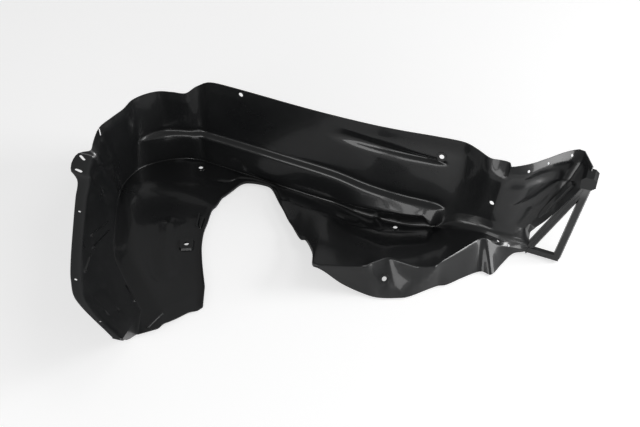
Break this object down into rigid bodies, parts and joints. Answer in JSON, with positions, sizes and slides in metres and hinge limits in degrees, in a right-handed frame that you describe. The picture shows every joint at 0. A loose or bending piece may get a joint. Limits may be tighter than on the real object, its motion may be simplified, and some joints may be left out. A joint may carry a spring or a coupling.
{
  "type": "splash shield",
  "caption": "One-piece moulded wheel arch splash shield: deep curved wall, stepped ledge, axle cut-out, front leg with rim, clip pads and a duct frame at the front end.",
  "frame": {"origin": "bottom centre of the bounding box", "axes": "+X forward along the car, +Y up the car, +Z outboard, away from the inboard side that the part lies on"},
  "size_m": [1.035, 0.6652, 0.2143],
  "materials": {
    "shield": "moulded black polypropylene, glossy"
  },
  "bodies": {
    "root": {"splash_shield": "shield"}
  },
  "joints": []
}
